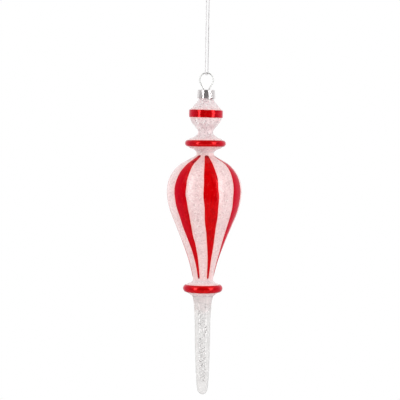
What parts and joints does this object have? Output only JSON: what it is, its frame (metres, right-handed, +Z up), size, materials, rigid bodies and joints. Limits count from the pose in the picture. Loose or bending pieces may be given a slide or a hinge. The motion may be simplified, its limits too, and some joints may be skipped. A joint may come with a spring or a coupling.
{
  "type": "icicle hanging ornament",
  "caption": "Lampworked glass icicle drop with red bands and stripes, hung by a cord loop through a wire hanger in a fluted metal cap.",
  "frame": {"origin": "underside of the cord's knot, the hanging point, on the ornament's long axis", "axes": "+Z up along the ornament's long axis, +X along the wire hanger's bow, -Y towards the viewer who sees the bow face on"},
  "size_m": [0.0434, 0.0434, 0.2412],
  "materials": {
    "frosted_glass": "frosted, glittered",
    "icicle_glass": "frosted, glittered",
    "red_lacquered_glass": "gloss lacquer",
    "cap_metal": "bright",
    "hanger_wire": "bright",
    "cord_thread": "silky"
  },
  "bodies": {
    "knot": {"cord_knot": "cord_thread"},
    "cord": {"hanging_cord": "cord_thread"},
    "hanger": {"wire_hanger": "hanger_wire"},
    "cap": {"metal_cap": "cap_metal"},
    "glass": {"glass_bead": "frosted_glass", "upper_disc": "red_lacquered_glass", "glass_bulb": "frosted_glass", "lower_disc": "red_lacquered_glass", "icicle_stem": "icicle_glass"}
  },
  "joints": [
    {"name": "cord_swing", "type": "hinge", "parent": "knot", "child": "cord", "pos_m": [0, 0, 0], "axis": [0, 1, 0], "range_deg": [-30, 30]},
    {"name": "hanger_swing", "type": "hinge", "parent": "cord", "child": "hanger", "pos_m": [0, 0, -0.0465], "axis": [1, 0, 0], "range_deg": [-75, 75]},
    {"name": "cap_lift", "type": "slide", "parent": "hanger", "child": "cap", "axis": [0, 0, 1], "range_m": [0, 0.0015]},
    {"name": "glass_pull", "type": "slide", "parent": "hanger", "child": "glass", "axis": [0, 0, -1], "range_m": [0, 0.02]}
  ]
}
